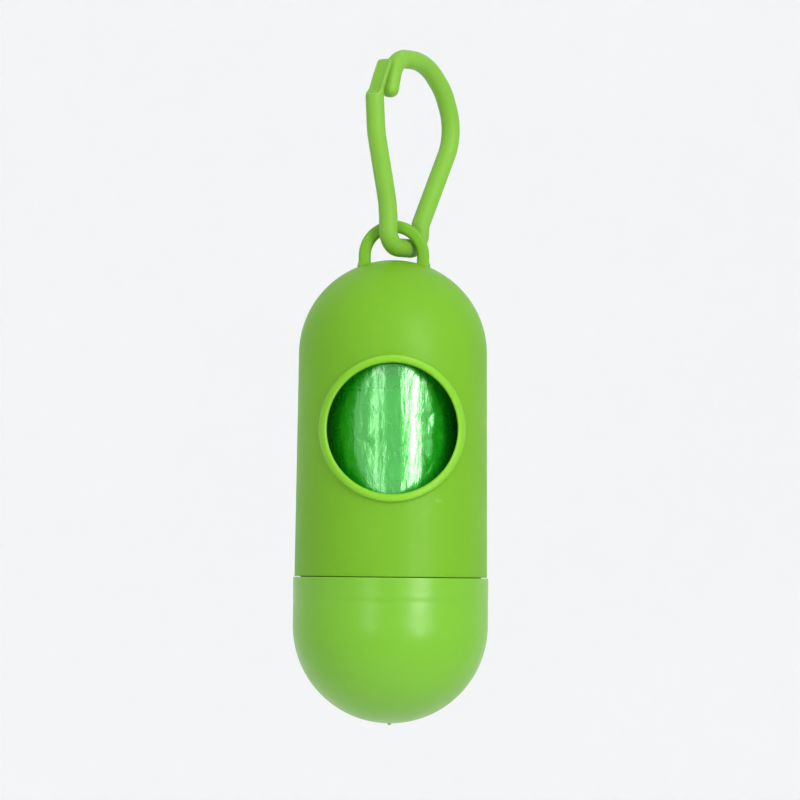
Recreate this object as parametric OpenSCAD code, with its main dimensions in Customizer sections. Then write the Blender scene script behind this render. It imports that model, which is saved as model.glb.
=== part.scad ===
// Capsule dispenser for a roll of dog waste bags, hanging from a one-piece plastic clip.
// The origin is the seat inside the top of the clip's loop. +Z is up along the capsule
// and the dispensing hole faces -Y.

/* [Shell] */
// Outer radius of the shell's dome
dome_r = 19.3; // [18.6:0.1:19.6]
// Outer radius of the shell at the seam, where its wall is widest
foot_r = 19.75; // [19.7:0.05:24]
// Height of the shell from its top to the seam
shell_h = 65; // [60:0.5:82]
// Radius of the space inside the shell
bore_r = 17.4; // [16.6:0.1:17.5]

/* [Dispensing hole] */
// Radius of the hole that the bags are pulled through
hole_r = 13.3; // [6:0.1:14.5]
// Distance from the top of the shell to the hole's centre
hole_drop = 35; // [33:0.5:42]
// Width of the raised rim round the hole
rim_w = 1.6; // [0.8:0.1:2.5]
// Height of the rim above the shell's wall
rim_proud = 1.1; // [0.4:0.05:2]

/* [Eye] */
// Radius of the eye's arch, along the middle of its bar
eye_r = 6; // [5.8:0.1:8]
// Radius of the eye's bar
eye_bar_r = 1.25; // [0.8:0.05:1.4]
// Height of the arch's centre above the top of the shell
eye_rise = 0.9; // [0.6:0.1:3]

/* [Cap] */
// Outer radius of the cap
cap_r = 20; // [19.9:0.1:25]
// Height of the cap's straight side
cap_side_h = 10; // [9.8:0.1:20]
// Thickness of the cap's dome
cap_wall = 2.1; // [1.4:0.1:2.4]
// Opening left at the seam between the shell and the cap
seam_gap = 0.15; // [0.05:0.05:0.4]

/* [Snap neck] */
// Height of the neck that the cap pushes onto
neck_h = 9; // [7:0.5:9.4]
// Thickness of the neck's wall
neck_wall = 1.05; // [0.8:0.05:1.1]
// Height of the snap bead above the neck
bead_proud = 0.2; // [0.1:0.05:0.25]
// Width of the snap bead
bead_w = 1.6; // [1:0.1:3]
// Distance from the seam to the middle of the bead
bead_drop = 4.7; // [3:0.1:5.5]
// Radial clearance between the bead and the cap's mouth
snap_gap = 0.07; // [0.03:0.01:0.1]
// Clearance between the neck's end and the ledge in the cap
ledge_gap = 0.3; // [0.1:0.05:0.5]

/* [Bag roll] */
// Number of bags on a full roll
bag_count = 15; // [5:1:20]
// Radius of a full roll
roll_r = 15.5; // [12:0.1:16]
// Length of the roll, which is the width of a folded bag
roll_l = 62.5; // [50:0.5:64]
// Outer radius of the paper core
core_r = 6.5; // [5:0.1:8]
// Thickness of the paper core
core_wall = 1; // [0.6:0.1:1.5]
// Radial clearance between the core and the first bag
core_gap = 0.1; // [0.05:0.05:0.3]
// Clearance between the roll and the cap's dome
roll_gap = 0.3; // [0.1:0.1:1]

/* [Clip] */
// Radius of the clip's rod
rod_r = 1.9; // [1.5:0.05:2]
// Angle from the eye's plane to the clip's plane
clip_turn = 54; // [52:1:70]
// Distance from the seat down to the middle of the rod in the eye
bend_drop = 37; // [36:0.2:50]
// Clearance between the clip's bend and the top of the shell
bend_gap = 0.7; // [0.6:0.1:1.5]
// Distance from the shell's axis to where the clip crosses the eye's plane
cross_x = 1.2; // [0.8:0.1:1.3]
// Distance along the clip from the seat to where it crosses the eye's plane
seat_shift = 2.67; // [2:0.1:3]
// Distance along the clip from the seat to the stem that carries the gate
stem_l = 6.8; // [6.4:0.1:7.5]
// Distance along the clip from the seat to the other stem
stem_r = 4.4; // [4.2:0.1:5.5]

/* [Gate] */
// Distance from the seat down to the gate's living hinge
pivot_drop = 27.7; // [26:0.1:28.4]
// Distance from the seat down to the gate's shoulder
shoulder_drop = 6; // [5:0.1:6.4]
// Radius of the gate's neck above its shoulder
latch_r = 1.15; // [0.8:0.05:1.2]
// Clearance round the living hinge
hinge_gap = 0.15; // [0.1:0.05:0.3]

/* [Hidden] */
$fn = 96;
bag_names = [for (i = [1:bag_count]) str("bag_", i < 10 ? "0" : "", i)];

// Colours
lime = [0.5, 0.78, 0.2];
lime_clip = [0.56, 0.83, 0.29];
lime_cap = [0.53, 0.82, 0.23];
film_green = [0.1, 0.6, 0.22];
board = [0.72, 0.62, 0.47];

// Capsule, measured down from the top of the shell
neck_r = bore_r + neck_wall;
bead_r = neck_r + bead_proud;
mouth_r = bead_r + snap_gap;
groove_r = mouth_r + bead_proud;
groove_w = bead_w + 2 * ledge_gap;
neck_end = shell_h + neck_h;
ledge_z = neck_end + ledge_gap;
cap_centre = shell_h + cap_side_h;
cap_in_r = cap_r - cap_wall;
roll_end = cap_centre + sqrt(pow(cap_in_r, 2) - pow(roll_r, 2)) - roll_gap;
rim_r = dome_r + (foot_r - dome_r) * hole_drop / shell_h + rim_proud;
// Depth that the eye's legs run down into the dome
eye_foot = 2.2;

// Place of the capsule below the clip
top_z = -(bend_drop + rod_r + bend_gap);
axis_x = -(cross_x + seat_shift * cos(clip_turn));
axis_y = -seat_shift * sin(clip_turn);

// Bends and round ends are a hair fatter than the straights that run into them
swell = 0.02;
lap = 0.1;

// Clip, in its own plane. Places are [along, up] from the seat, and routes add a bend radius.
// Lean of the gate's stem at the hinge, and the drop over which it leans
hinge_lean = 0.4;
lean_drop = 3.3;
lean_bend = 6;
pivot = [-stem_l - hinge_lean, -pivot_drop];
// Bend that hangs in the eye, and the knee above it on the other stem
eye_bend = 3.6;
knee_rise = 4.85;
knee_bend = 3;
// Loop, from its widest place over its shoulder to its crown
loop_side = [16.3, -12.3, 10.2];
loop_shoulder = [12.2, -3.9, 11.5];
loop_crown = [5.7, rod_r, 12.7];
// Nose, which turns down inside the gate's latch
nose_bend = 4.6;
nose_corner = 1.8;
nose_lean = 0.4;
nose_drop = 4.4;
// Gate, which leans out to its shoulder
gate_bow = [4.5, 13.8, 16];
shoulder_lean = 5.2;
// Latch, a thinner neck that starts inside the shoulder and leans over the nose
latch_sink = 0.5;
latch_knee = [4.1, 3.2, 5];
latch_tip = [2, 1.1];
// Depth below the hinge at which its cup is cut level
cup_drop = 1.1;
// Distance that a cut runs past what it cuts
past = 1;

clip_route = [
    [pivot.x, pivot.y, 0],
    [-stem_l, -pivot_drop - lean_drop, lean_bend],
    [-stem_l, -bend_drop, eye_bend],
    [stem_r, -bend_drop, eye_bend],
    [stem_r, -bend_drop + knee_rise, knee_bend],
    loop_side,
    loop_shoulder,
    loop_crown,
    [-stem_l + nose_corner, rod_r, nose_bend],
    [-stem_l - nose_lean, -nose_drop, 0]
];
gate_route = [
    [pivot.x, pivot.y, 0],
    [-stem_l - gate_bow.x, -gate_bow.y, gate_bow.z],
    [-stem_l - shoulder_lean, -shoulder_drop, 0]
];
latch_route = [
    [-stem_l - gate_bow.x, -shoulder_drop - latch_sink, 0],
    [-stem_l - latch_knee.x, -latch_knee.y, latch_knee.z],
    [-stem_l - latch_tip.x, latch_tip.y, 0]
];

function unit(v) = v / norm(v);
function flat(p) = [p.x, p.y];
function turn_of(v) = atan2(v.y, v.x);
// Unit vectors from corner i of a route towards its neighbours
function back(route, i) = unit(flat(route[i - 1]) - flat(route[i]));
function ahead(route, i) = unit(flat(route[i + 1]) - flat(route[i]));
function corner(route, i) = acos(back(route, i) * ahead(route, i));
// Length that the bend at corner i takes from the straights beside it
function cut(route, i) =
    i == 0 || i == len(route) - 1 ? 0 : route[i].z / tan(corner(route, i) / 2);
function leave(route, i) = flat(route[i]) + ahead(route, i) * cut(route, i);
function arrive(route, i) = flat(route[i]) + back(route, i) * cut(route, i);
function bend_centre(route, i) = flat(route[i])
    + unit(back(route, i) + ahead(route, i)) * route[i].z / sin(corner(route, i) / 2);
// Signed angle from a to b, within half a turn
function sweep(a, b) = let (d = turn_of(b) - turn_of(a)) d > 180 ? d - 360 : d < -180 ? d + 360 : d;

// A straight of the rod, which runs a little way into the bends beside it
module straight(p, q, r) {
    start = p - unit(q - p) * lap;
    translate([start.x, start.y, 0])
        rotate([0, 0, turn_of(q - p)])
            rotate([0, 90, 0])
                cylinder(h = norm(q - p) + 2 * lap, r = r);
}

module bend(centre, p, q, r) {
    start = sweep(p - centre, q - centre) > 0 ? p - centre : q - centre;
    translate([centre.x, centre.y, 0])
        rotate([0, 0, turn_of(start)])
            rotate_extrude(angle = abs(sweep(p - centre, q - centre)))
                translate([norm(p - centre), 0])
                    circle(r = r + swell);
}

module round_end(route, r) {
    last = len(route) - 1;
    translate([route[last].x, route[last].y, 0])
        rotate([0, 0, turn_of(flat(route[last]) - flat(route[last - 1]))])
            rotate([0, 90, 0])
                rotate_extrude()
                    quarter_disc(r + swell);
}

module quarter_disc(r) {
    intersection() {
        circle(r = r);
        square(r);
    }
}

// A round rod along a route, drawn in the XY plane
module rod(route, r) {
    for (i = [0:len(route) - 2])
        straight(leave(route, i), arrive(route, i + 1), r);
    for (i = [1:len(route) - 2])
        bend(bend_centre(route, i), arrive(route, i), leave(route, i), r);
}

// Stands what is drawn in XY upright in the clip's plane
module in_clip() {
    rotate([0, 0, clip_turn])
        rotate([90, 0, 0])
            children();
}

// Puts the top of the shell where it hangs
module in_capsule() {
    translate([axis_x, axis_y, top_z])
        children();
}

module clip_frame() {
    color(lime_clip)
        in_clip()
            difference() {
                union() {
                    rod(clip_route, rod_r);
                    round_end(clip_route, rod_r);
                }
                hinge_cup();
            }
}

// Clears the gate's round lower end and everything of the stem above its cup
module hinge_cup() {
    translate([pivot.x, pivot.y, 0]) {
        sphere(r = rod_r + hinge_gap);
        translate([-2 * rod_r, -cup_drop, -2 * rod_r])
            cube([4 * rod_r, 2 * rod_r, 4 * rod_r]);
    }
}

module clip_gate() {
    color(lime_clip)
        in_clip() {
            rod(gate_route, rod_r);
            rod(latch_route, latch_r);
            round_end(latch_route, latch_r);
            gate_foot();
        }
}

// Round end of the gate, which turns in the stem's cup
module gate_foot() {
    round_end([gate_route[1], gate_route[0]], rod_r);
}

module shell() {
    color(lime)
        in_capsule() {
            difference() {
                union() {
                    rotate_extrude()
                        shell_outline();
                    rim();
                }
                rotate_extrude()
                    shell_space();
                across_hole(hole_r);
            }
            eye();
        }
}

module shell_outline() {
    translate([0, -dome_r])
        quarter_disc(dome_r);
    bead_top = shell_h + bead_drop - bead_w / 2;
    bead_end = shell_h + bead_drop + bead_w / 2;
    polygon([
        [0, -dome_r],
        [dome_r, -dome_r],
        [foot_r, -shell_h],
        [neck_r, -shell_h],
        [neck_r, -bead_top],
        [bead_r, -bead_top - bead_proud],
        [bead_r, -bead_end + bead_proud],
        [neck_r, -bead_end],
        [neck_r, -neck_end + bead_proud],
        [neck_r - bead_proud, -neck_end],
        [0, -neck_end]
    ]);
}

module shell_space() {
    translate([0, -dome_r])
        quarter_disc(bore_r);
    translate([0, -neck_end - past])
        square([bore_r, neck_end + past - dome_r]);
}

// Raised rim that follows the round of the wall
module rim() {
    intersection() {
        across_hole(hole_r + rim_w);
        translate([0, 0, -hole_drop - 2 * hole_r])
            cylinder(h = 4 * hole_r, r = rim_r);
    }
}

// A cylinder from the shell's axis out through the dispensing hole
module across_hole(r) {
    translate([0, 0, -hole_drop])
        rotate([90, 0, 0])
            cylinder(h = 2 * foot_r, r = r);
}

module eye() {
    translate([0, 0, eye_rise])
        rotate([90, 0, 0])
            rotate_extrude(angle = 180)
                translate([eye_r, 0])
                    circle(r = eye_bar_r);
    for (side = [-1, 1])
        translate([side * eye_r, 0, -eye_foot])
            cylinder(h = eye_rise + eye_foot, r = eye_bar_r);
}

module cap() {
    color(lime_cap)
        in_capsule()
            rotate_extrude()
                difference() {
                    cap_outline();
                    cap_space();
                }
}

module cap_outline() {
    translate([0, -cap_centre])
        square([cap_r, cap_side_h - seam_gap]);
    translate([0, -cap_centre])
        mirror([0, 1])
            quarter_disc(cap_r);
}

module cap_space() {
    translate([0, -ledge_z])
        square([mouth_r, ledge_z]);
    translate([0, -shell_h - bead_drop - groove_w / 2])
        square([groove_r, groove_w]);
    translate([0, -cap_centre])
        square([cap_in_r, cap_centre - ledge_z]);
    translate([0, -cap_centre])
        mirror([0, 1])
            quarter_disc(cap_in_r);
}

module sleeve(inner, outer) {
    in_capsule()
        translate([0, 0, -roll_end])
            linear_extrude(roll_l)
                difference() {
                    circle(r = outer);
                    circle(r = inner);
                }
}

module core() {
    color(board)
        sleeve(core_r - core_wall, core_r);
}

// Radius of the roll once its first bags are wound, each with the same area of film
function wound_r(count) = let (start = core_r + core_gap)
    sqrt(pow(start, 2) + count * (pow(roll_r, 2) - pow(start, 2)) / bag_count);

module bag(number) {
    color(film_green)
        sleeve(wound_r(number - 1), wound_r(number));
}

clip_frame();
clip_gate();
shell();
cap();
core();
for (i = [1:bag_count])
    bag(i);
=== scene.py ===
"""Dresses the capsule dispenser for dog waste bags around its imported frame.

Sizes in the classes are in millimetres, and meshes are built in metres. Angles round the
capsule are turned from the side that the dispensing hole faces (-Y) towards +X.
"""

import logging
import math
from dataclasses import dataclass
from enum import Enum
from typing import Callable, Sequence

import bmesh
import bpy
import numpy as np
from mathutils import Matrix, Vector


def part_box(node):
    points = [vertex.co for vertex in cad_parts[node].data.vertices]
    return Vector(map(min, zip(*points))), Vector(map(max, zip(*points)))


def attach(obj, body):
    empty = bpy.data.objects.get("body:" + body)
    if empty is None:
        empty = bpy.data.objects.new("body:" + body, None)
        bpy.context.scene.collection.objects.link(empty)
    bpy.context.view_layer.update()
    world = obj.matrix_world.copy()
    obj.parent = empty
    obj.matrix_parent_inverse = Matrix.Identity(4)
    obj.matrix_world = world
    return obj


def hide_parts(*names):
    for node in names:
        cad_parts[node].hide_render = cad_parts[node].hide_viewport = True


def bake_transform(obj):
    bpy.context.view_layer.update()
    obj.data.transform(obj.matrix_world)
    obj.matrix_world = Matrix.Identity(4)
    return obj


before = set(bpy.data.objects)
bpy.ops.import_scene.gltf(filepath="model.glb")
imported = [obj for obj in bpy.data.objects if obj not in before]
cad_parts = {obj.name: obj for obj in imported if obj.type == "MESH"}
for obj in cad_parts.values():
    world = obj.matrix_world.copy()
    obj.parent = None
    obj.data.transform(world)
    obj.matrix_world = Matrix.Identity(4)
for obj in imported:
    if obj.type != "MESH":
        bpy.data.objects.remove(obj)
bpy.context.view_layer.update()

MM = 0.001
LOG = logging.getLogger("dispenser")

Colour = tuple[float, float, float]
Profile = list[tuple[float, float]]
Numbers = np.ndarray | float
Section = Callable[[int, np.ndarray], tuple[np.ndarray, np.ndarray]]
Socket = bpy.types.NodeSocket
Piece = bpy.types.Object
Look = bpy.types.Material


class Body(str, Enum):
    """The moving bodies of the frame."""

    CLIP = "clip"
    GATE = "gate"
    SHELL = "shell"
    CORE = "core"
    CAP = "cap"
    BAGS = "bags"


class Slot(str, Enum):
    """The record's material slots."""

    CLIP = "clip"
    SHELL = "shell"
    CAP = "cap"
    FILM = "film"
    CORE = "core"


class EdgeRubAndSheen(Enum):
    """How far the raised edges of a moulding are paled: partly rubbing wear, partly a painted edge
    sheen.
    """

    NEW = 0.0
    HANDLED = 0.35
    WORN = 0.6


# --------------------------------------------------------------------------- finishes


class NodeSheet:
    """A material's node tree, with short calls to add and join its nodes."""

    def __init__(self, name: str) -> None:
        """Makes an empty material.

        Args:
            name: The material's name.
        """
        self.material = bpy.data.materials.new(name)
        self.material.use_nodes = True
        self.tree = self.material.node_tree
        self.tree.nodes.clear()
        self.output = self.tree.nodes.new("ShaderNodeOutputMaterial")
        self.shader = self.tree.nodes.new("ShaderNodeBsdfPrincipled")
        self.join(self.shader.outputs[0], self.output.inputs["Surface"])
        self.place = self.tree.nodes.new("ShaderNodeTexCoord").outputs["Object"]

    def join(self, source: Socket, target: Socket) -> None:
        """Links one socket to another."""
        self.tree.links.new(source, target)

    def constant(self, **values: object) -> None:
        """Sets the shader's own sockets, named with spaces written as underscores."""
        for name, value in values.items():
            self.shader.inputs[name.replace("_", " ")].default_value = value

    def stretched(self, scale: Sequence[float]) -> Socket:
        """Gives the object's coordinates, scaled along each axis.

        Args:
            scale: Factor along x, y and z.

        Returns:
            The coordinates.
        """
        node = self.tree.nodes.new("ShaderNodeMapping")
        node.inputs["Scale"].default_value = scale
        self.join(self.place, node.inputs["Vector"])
        return node.outputs["Vector"]

    def noise(
        self, scale: float, detail: float = 2.0, rough: float = 0.5,
        place: Socket | None = None, warp: float = 0.0,
    ) -> Socket:
        """Adds a noise texture.

        Args:
            scale: Cells per metre.
            detail: Octaves of finer noise.
            rough: Share of each finer octave.
            place: Coordinates, which are the object's own if left out.
            warp: How far the noise distorts itself.

        Returns:
            The noise, from 0 to 1.
        """
        node = self.tree.nodes.new("ShaderNodeTexNoise")
        node.inputs["Scale"].default_value = scale
        node.inputs["Detail"].default_value = detail
        node.inputs["Roughness"].default_value = rough
        node.inputs["Distortion"].default_value = warp
        self.join(place or self.place, node.inputs["Vector"])
        return node.outputs[0]

    def cells(self, scale: float, place: Socket | None = None) -> Socket:
        """Adds the distance to the nearest edge between random flat cells.

        Args:
            scale: Cells per metre.
            place: Coordinates, which are the object's own if left out.

        Returns:
            The distance.
        """
        node = self.tree.nodes.new("ShaderNodeTexVoronoi")
        node.feature = "DISTANCE_TO_EDGE"
        node.inputs["Scale"].default_value = scale
        self.join(place or self.place, node.inputs["Vector"])
        return node.outputs["Distance"]

    def span(
        self, source: Socket, low: float, high: float, start: float, end: float,
    ) -> Socket:
        """Maps low..high of a value onto start..end, and holds it at the ends.

        Args:
            source: The value.
            low: Value that gives the start.
            high: Value that gives the end.
            start: Result at the low value.
            end: Result at the high value.

        Returns:
            The mapped value.
        """
        node = self.tree.nodes.new("ShaderNodeMapRange")
        sockets = ("From Min", "From Max", "To Min", "To Max")
        for name, value in zip(sockets, (low, high, start, end)):
            node.inputs[name].default_value = value
        self.join(source, node.inputs["Value"])
        return node.outputs[0]

    def sums(self, kind: str, *values: Socket | float) -> Socket:
        """Adds a math node of that kind.

        Args:
            kind: The math node's operation.
            values: Numbers or sockets, in order.

        Returns:
            The result.
        """
        node = self.tree.nodes.new("ShaderNodeMath")
        node.operation = kind
        for socket, value in zip(node.inputs, values):
            if isinstance(value, (int, float)):
                socket.default_value = value
            else:
                self.join(value, socket)
        return node.outputs[0]

    def tint(
        self, share: Socket, first: Socket | Colour,
        second: Socket | Colour,
    ) -> Socket:
        """Mixes two colours by a share from 0 to 1.

        Args:
            share: Share of the second colour.
            first: Colour at 0.
            second: Colour at 1.

        Returns:
            The mixed colour.
        """
        node = self.tree.nodes.new("ShaderNodeMix")
        node.data_type = "RGBA"
        self.join(share, node.inputs["Factor"])
        for socket, value in zip((node.inputs[6], node.inputs[7]), (first, second)):
            if isinstance(value, tuple):
                socket.default_value = (*value, 1.0)
            else:
                self.join(value, socket)
        return node.outputs[2]

    def bump(
        self, height: Socket, depth: float,
        under: Socket | None = None,
    ) -> Socket:
        """Adds a bump of that depth in metres, over another one if it is given.

        Args:
            height: Height of the surface, from 0 to 1.
            depth: Depth of one unit of height, in metres.
            under: Normal of the bump below.

        Returns:
            The normal.
        """
        node = self.tree.nodes.new("ShaderNodeBump")
        node.inputs["Distance"].default_value = depth
        self.join(height, node.inputs["Height"])
        if under is not None:
            self.join(under, node.inputs["Normal"])
        return node.outputs[0]

    def rim_highlight_mask(self, centre: Vector, inner: float, outer: float) -> Socket:
        """Gives 1 on a ring that faces the front, and 0 elsewhere, as the mask of a painted
        highlight.

        Args:
            centre: The ring's centre, in metres.
            inner: Its inner radius.
            outer: Its outer radius.

        Returns:
            The share, from 0 to 1.
        """
        axis = self.tree.nodes.new("ShaderNodeSeparateXYZ")
        self.join(self.place, axis.inputs[0])
        off = [self.sums("SUBTRACT", axis.outputs[k], centre[k]) for k in (0, 2)]
        away = self.sums("SQRT", self.sums(
            "ADD", *(self.sums("MULTIPLY", value, value) for value in off)
        ))
        middle, half = (inner + outer) / 2, (outer - inner) / 2
        near = self.sums("ABSOLUTE", self.sums("SUBTRACT", away, middle))
        front = self.span(axis.outputs[1], centre.y - 0.002, centre.y, 1.0, 0.0)
        return self.sums("MULTIPLY", self.span(near, 0.85 * half, half, 1.0, 0.0), front)

    def raised_edges(self, width: float) -> Socket:
        """Gives 1 on raised edges and 0 elsewhere.

        Args:
            width: How much sharper than flat an edge is before it counts.

        Returns:
            The share, from 0 to 1.
        """
        node = self.tree.nodes.new("ShaderNodeNewGeometry")
        return self.span(node.outputs["Pointiness"], 0.5 + width, 0.5 + 3 * width, 0.0, 1.0)


def shade(colour: Colour, factor: float) -> Colour:
    """Gives a colour made lighter or darker by a factor."""
    return (colour[0] * factor, colour[1] * factor, colour[2] * factor)


@dataclass(frozen=True)
class MouldedPlastic:
    """Satin polypropylene with a spark-eroded grain, flow marks, scuffs, raised edges paled by
    rubbing and a painted sheen, and an optional ring with a painted highlight.
    """

    name: str
    colour: Colour
    rough: float = 0.42
    grain: float = 2600.0
    grain_depth: float = 0.000012
    flow_depth: float = 0.00003
    gloss: float = 0.25
    rub_and_sheen_level: EdgeRubAndSheen = EdgeRubAndSheen.HANDLED
    glow: float = 0.12
    # Paler tint of the raised edges: partly rubbing wear, partly painted sheen.
    rub_and_sheen: Colour = (0.2, 0.2, 0.12)
    # Centre and radii of a ring painted lighter as a highlight, if any.
    painted_rim_highlight: tuple[Vector, float, float] | None = None

    def make(self) -> Look:
        """Builds the material.

        Returns:
            The material.
        """
        sheet = NodeSheet(self.name)
        sheet.constant(
            Specular_IOR_Level=self.gloss, IOR=1.49, Subsurface_Weight=self.glow,
            Subsurface_Radius=(0.6, 1.0, 0.25), Subsurface_Scale=0.0012,
            Coat_Weight=0.0,
        )
        cloud = sheet.noise(70.0, detail=3.0)
        fleck = sheet.noise(900.0, detail=2.0)
        base = sheet.tint(cloud, shade(self.colour, 0.94), shade(self.colour, 1.05))
        base = sheet.tint(
            sheet.span(fleck, 0.62, 0.8, 0.0, 0.35), base, shade(self.colour, 1.16)
        )
        # Raised edges are paled and made glossier: partly rubbing wear, partly a painted edge
        # sheen.
        rub_and_sheen = sheet.sums(
            "MULTIPLY",
            sheet.raised_edges(0.015),
            sheet.span(sheet.noise(420.0, detail=4.0), 0.35, 0.7, 0.2, 1.0),
        )
        # Painted highlight: the front of the ring round the hole is tinted lighter.
        if self.painted_rim_highlight is not None:
            base = sheet.tint(sheet.rim_highlight_mask(*self.painted_rim_highlight), base, shade(self.colour, 1.3))
        pale_rub_and_sheen = tuple(0.8 * share + white for share, white in zip(self.colour, self.rub_and_sheen))
        rub_and_sheen_share = sheet.sums("MULTIPLY", rub_and_sheen, self.rub_and_sheen_level.value)
        sheet.join(sheet.tint(rub_and_sheen_share, base, pale_rub_and_sheen), sheet.shader.inputs["Base Color"])

        scratch = sheet.noise(
            90.0, detail=5.0, rough=0.65, place=sheet.stretched((1.0, 1.0, 0.35)), warp=2.2
        )
        line = sheet.span(
            sheet.sums("ABSOLUTE", sheet.sums("SUBTRACT", scratch, 0.5)), 0.0, 0.003, 1.0, 0.0
        )
        patch = sheet.span(sheet.noise(38.0, detail=1.0), 0.5, 0.62, 0.0, 1.0)
        scuff = sheet.sums("MULTIPLY", line, patch)
        rough = sheet.span(
            sheet.noise(160.0, detail=4.0), 0.3, 0.7, self.rough - 0.05, self.rough + 0.06
        )
        rough = sheet.sums("ADD", rough, sheet.sums("MULTIPLY", scuff, 0.06))
        rough = sheet.sums("SUBTRACT", rough, sheet.sums("MULTIPLY", rub_and_sheen_share, 0.1))
        sheet.join(rough, sheet.shader.inputs["Roughness"])

        normal = sheet.bump(sheet.noise(55.0, detail=1.0), self.flow_depth)
        grain = sheet.noise(self.grain, detail=2.0, rough=0.6)
        normal = sheet.bump(grain, self.grain_depth, normal)
        normal = sheet.bump(sheet.sums("MULTIPLY", scuff, -1.0), 0.000003, normal)
        sheet.join(normal, sheet.shader.inputs["Normal"])
        return sheet.material


@dataclass(frozen=True)
class WoundFilm:
    """Glossy polyethylene film, wound tight, with draw lines and small crinkles."""

    name: str
    colour: Colour
    rough: float = 0.27
    crinkle_depth: float = 0.00012
    draw_depth: float = 0.00002
    fold_depth: float = 0.0005

    def make(self) -> Look:
        """Builds the material.

        Returns:
            The material.
        """
        sheet = NodeSheet(self.name)
        sheet.constant(
            Metallic=0.55, Specular_IOR_Level=0.5, IOR=1.5, Coat_Weight=1.0,
            Coat_Roughness=0.17, Coat_IOR=1.95, Coat_Tint=(0.95, 1.0, 0.86, 1.0),
        )
        band = sheet.noise(45.0, detail=3.0, place=sheet.stretched((1.0, 1.0, 0.4)))
        tone = sheet.tint(band, shade(self.colour, 0.75), shade(self.colour, 1.2))
        veil = sheet.span(
            sheet.noise(260.0, detail=5.0, place=sheet.stretched((1.0, 1.0, 0.12))),
            0.55, 0.8, 0.0, 0.4,
        )
        milky = (self.colour[0] + 0.01, self.colour[1] * 1.1 + 0.02, self.colour[2] + 0.015)
        sheet.join(sheet.tint(veil, tone, milky), sheet.shader.inputs["Base Color"])
        sheet.join(
            sheet.span(
                sheet.noise(300.0, detail=4.0), 0.3, 0.7, self.rough - 0.06, self.rough + 0.08
            ),
            sheet.shader.inputs["Roughness"],
        )
        crease = sheet.span(
            sheet.cells(210.0, sheet.stretched((1.0, 1.0, 0.55))), 0.0, 0.06, 0.0, 1.0
        )
        fold = sheet.noise(110.0, detail=1.5, place=sheet.stretched((1.0, 1.0, 0.75)), warp=0.6)
        fold = sheet.sums("ABSOLUTE", sheet.sums("SUBTRACT", fold, 0.5))
        normal = sheet.bump(fold, self.fold_depth)
        normal = sheet.bump(crease, self.crinkle_depth * 0.04, normal)
        normal = sheet.bump(
            sheet.noise(
                420.0, detail=4.0, rough=0.6, place=sheet.stretched((1.0, 1.0, 0.3)), warp=1.2
            ),
            self.crinkle_depth, normal,
        )
        normal = sheet.bump(
            sheet.noise(3000.0, detail=2.0, place=sheet.stretched((1.0, 1.0, 0.03))),
            self.draw_depth, normal,
        )
        sheet.join(normal, sheet.shader.inputs["Normal"])
        sheet.join(normal, sheet.shader.inputs["Coat Normal"])
        return sheet.material


@dataclass(frozen=True)
class Paperboard:
    """Matt grey-brown board with fibres and dark specks."""

    name: str
    colour: Colour

    def make(self) -> Look:
        """Builds the material.

        Returns:
            The material.
        """
        sheet = NodeSheet(self.name)
        sheet.constant(Specular_IOR_Level=0.2, Sheen_Weight=0.15, Sheen_Roughness=0.7)
        fibre = sheet.noise(1500.0, detail=5.0, rough=0.7, place=sheet.stretched((1.0, 1.0, 0.3)))
        speck = sheet.span(sheet.noise(2400.0, detail=1.0), 0.66, 0.76, 0.0, 0.7)
        tone = sheet.tint(fibre, shade(self.colour, 0.78), shade(self.colour, 1.2))
        sheet.join(
            sheet.tint(speck, tone, shade(self.colour, 0.45)), sheet.shader.inputs["Base Color"]
        )
        sheet.join(sheet.span(fibre, 0.2, 0.8, 0.78, 0.95), sheet.shader.inputs["Roughness"])
        sheet.join(sheet.bump(fibre, 0.00006), sheet.shader.inputs["Normal"])
        return sheet.material


@dataclass(frozen=True)
class StudioPaper:
    """Plain white paper for the floor and its cove."""

    name: str
    colour: Colour = (0.97, 0.972, 0.973)

    def make(self) -> Look:
        """Builds the material.

        Returns:
            The material.
        """
        sheet = NodeSheet(self.name)
        sheet.constant(Specular_IOR_Level=0.15, Roughness=0.9)
        cloud = sheet.noise(3.0, detail=2.0)
        sheet.join(
            sheet.tint(cloud, shade(self.colour, 0.985), shade(self.colour, 1.01)),
            sheet.shader.inputs["Base Color"],
        )
        return sheet.material


# --------------------------------------------------------------------------- meshes


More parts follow.
